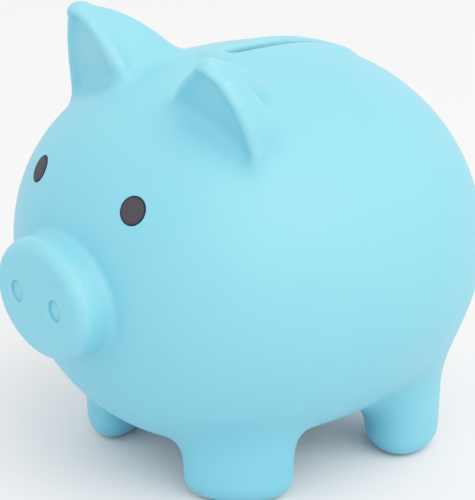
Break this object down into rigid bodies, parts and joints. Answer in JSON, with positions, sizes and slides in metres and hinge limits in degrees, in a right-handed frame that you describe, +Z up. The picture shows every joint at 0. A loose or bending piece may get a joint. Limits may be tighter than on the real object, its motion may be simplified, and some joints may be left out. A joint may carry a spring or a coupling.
{
  "type": "piggy bank",
  "caption": "Round pig-shaped coin bank: hollow moulded plastic body with a coin slot in the back, cupped ears, four short legs and a screw-in belly stopper.",
  "frame": {"origin": "on the ground, under the middle of the overall box", "axes": "+Z up, the snout points along -Y, the pig's left side is +X"},
  "size_m": [0.104, 0.112, 0.106],
  "materials": {
    "skin": "soft-touch matt",
    "eye_print": "satin print",
    "collar_plastic": "satin",
    "seal": "matt",
    "stopper_plastic": "satin"
  },
  "bodies": {
    "pig": {"body_shell": "skin", "left_eye": "eye_print", "right_eye": "eye_print", "belly_collar": "collar_plastic"},
    "seal_ring": {"stopper_gasket": "seal"},
    "plug": {"stopper": "stopper_plastic"}
  },
  "joints": [
    {"name": "stopper_drop", "type": "slide", "parent": "pig", "child": "seal_ring", "axis": [0, 0, -1], "range_m": [0, 0.045]},
    {"name": "stopper_turn", "type": "hinge", "parent": "seal_ring", "child": "plug", "pos_m": [0, 0.004, 0.0114], "axis": [0, 0, -1], "range_deg": [0, 1012]}
  ],
  "couplings": [
    {"joint": "stopper_drop", "follows": "stopper_turn", "m_per_rad": 0.0025465}
  ]
}
